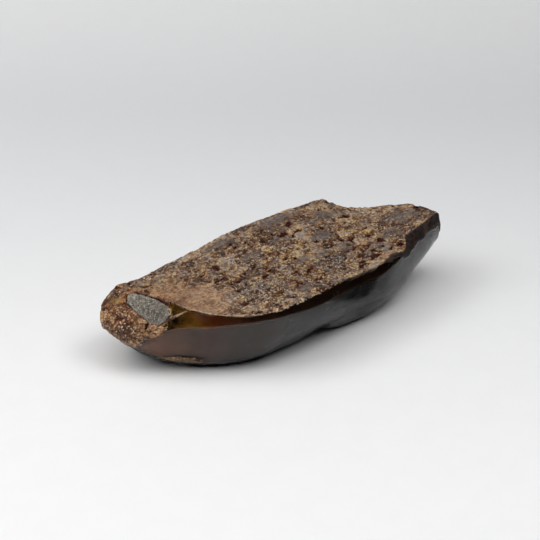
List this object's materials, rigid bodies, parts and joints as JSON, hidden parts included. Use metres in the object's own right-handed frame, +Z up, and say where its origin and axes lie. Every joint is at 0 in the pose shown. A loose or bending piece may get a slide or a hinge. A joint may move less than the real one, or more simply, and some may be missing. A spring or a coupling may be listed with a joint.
{
  "type": "raw amber piece",
  "caption": "Long, low lump of raw dark amber with a rough bark-like crust on top, a polished see-through lower face and a chip of grey stone lodged in its blunt end.",
  "frame": {"origin": "centre of the lump's bounding box, on the plane of its rest face", "axes": "+X along the lump from its blunt end to its thin end, +Z up through the crust, +Y to the back, away from the polished front"},
  "size_m": [0.0886, 0.0376, 0.019],
  "materials": {
    "amber": "polished",
    "grey_stone": "matte"
  },
  "bodies": {
    "root": {"amber": "amber", "stone_chip": "grey_stone"}
  },
  "joints": []
}
